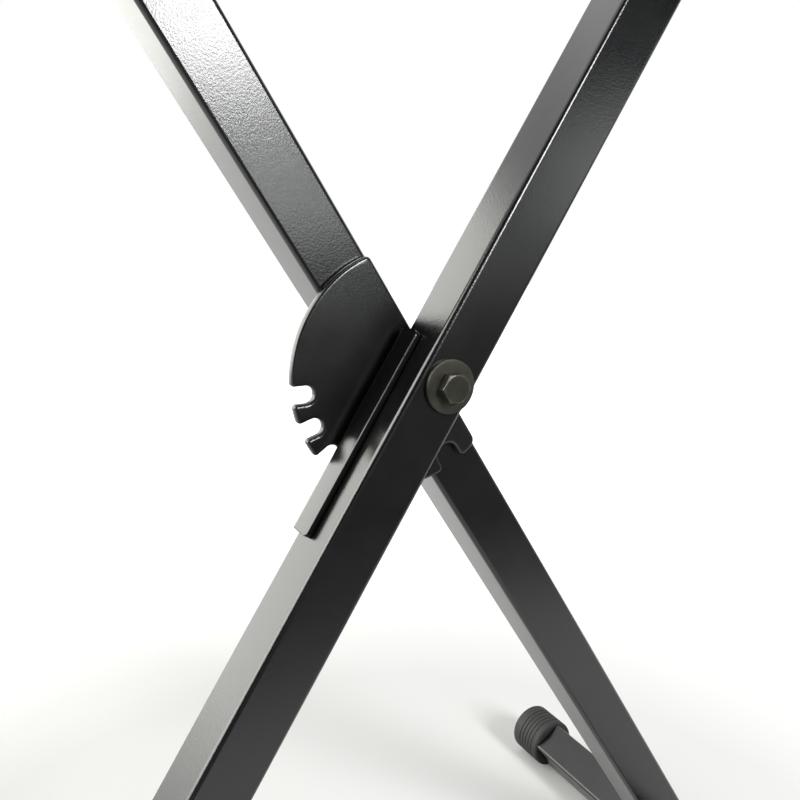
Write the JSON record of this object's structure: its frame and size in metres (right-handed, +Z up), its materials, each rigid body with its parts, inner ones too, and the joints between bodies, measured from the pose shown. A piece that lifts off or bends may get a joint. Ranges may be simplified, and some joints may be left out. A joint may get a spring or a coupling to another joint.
{
  "type": "folding keyboard stand",
  "caption": "Folding crossed-leg keyboard stand of black square tube, with a notched height plate, a sprung lock pin, sleeved arms and rubber-capped feet.",
  "frame": {"origin": "on the floor, below the crossing of the legs and midway along the foot bars", "axes": "+X to the player's right across the stand's width, +Y away from the player along the foot bars and arms, +Z up"},
  "size_m": [0.5906, 0.438, 0.8861],
  "materials": {
    "powder_coat": "satin black powder coat with a fine orange-peel texture",
    "black_fastener": "black-oxide steel, worn paler on its edges",
    "zinc_steel": "zinc-plated steel",
    "rubber": "matt black moulded rubber",
    "rubber_sleeve": "matt black ribbed rubber",
    "black_plastic": "matt black moulded nylon",
    "pale_plastic": "natural nylon"
  },
  "bodies": {
    "front_frame": {"front_leg": "powder_coat", "front_leg_foot_bar": "powder_coat", "front_leg_arm_bar": "powder_coat", "front_leg_foot_gusset": "powder_coat", "front_leg_arm_gusset": "powder_coat", "front_leg_pivot_bush": "zinc_steel", "front_leg_foot_cap_front": "rubber", "front_leg_foot_cap_back": "rubber", "front_leg_arm_cap_front": "rubber", "front_leg_arm_cap_back": "rubber", "front_leg_arm_sleeve_front": "rubber_sleeve", "front_leg_arm_sleeve_back": "rubber_sleeve", "saddle_bracket": "powder_coat", "pivot_bolt": "black_fastener", "front_washer": "black_fastener", "pivot_spacer": "black_plastic", "rear_washer": "black_fastener", "pivot_lock_nut": "black_fastener", "lock_guide_upper": "pale_plastic", "lock_guide_lower": "pale_plastic", "lock_spring": "zinc_steel"},
    "lock": {"lock_bar": "zinc_steel", "lock_pin": "zinc_steel", "release_pull": "black_plastic", "pull_screw_1": "black_fastener", "pull_screw_2": "black_fastener"},
    "rear_frame": {"rear_leg": "powder_coat", "rear_leg_foot_bar": "powder_coat", "rear_leg_arm_bar": "powder_coat", "rear_leg_foot_gusset": "powder_coat", "rear_leg_arm_gusset": "powder_coat", "rear_leg_pivot_bush": "zinc_steel", "rear_leg_foot_cap_front": "rubber", "rear_leg_foot_cap_back": "rubber", "rear_leg_arm_cap_front": "rubber", "rear_leg_arm_cap_back": "rubber", "rear_leg_arm_sleeve_front": "rubber_sleeve", "rear_leg_arm_sleeve_back": "rubber_sleeve", "notch_plate": "powder_coat"}
  },
  "joints": [
    {"name": "leg_fold", "type": "hinge", "parent": "front_frame", "child": "rear_frame", "pos_m": [0.00165, 0, 0.44205], "axis": [0, -1, 0], "range_deg": [-59.97, 51.43]},
    {"name": "lock_slide", "type": "slide", "parent": "front_frame", "child": "lock", "axis": [0.5424, 0, 0.8401], "range_m": [0, 0.0117], "stiffness_N_per_m": 1500, "springref_m": 0.025, "deforming": ["lock_spring"]}
  ]
}
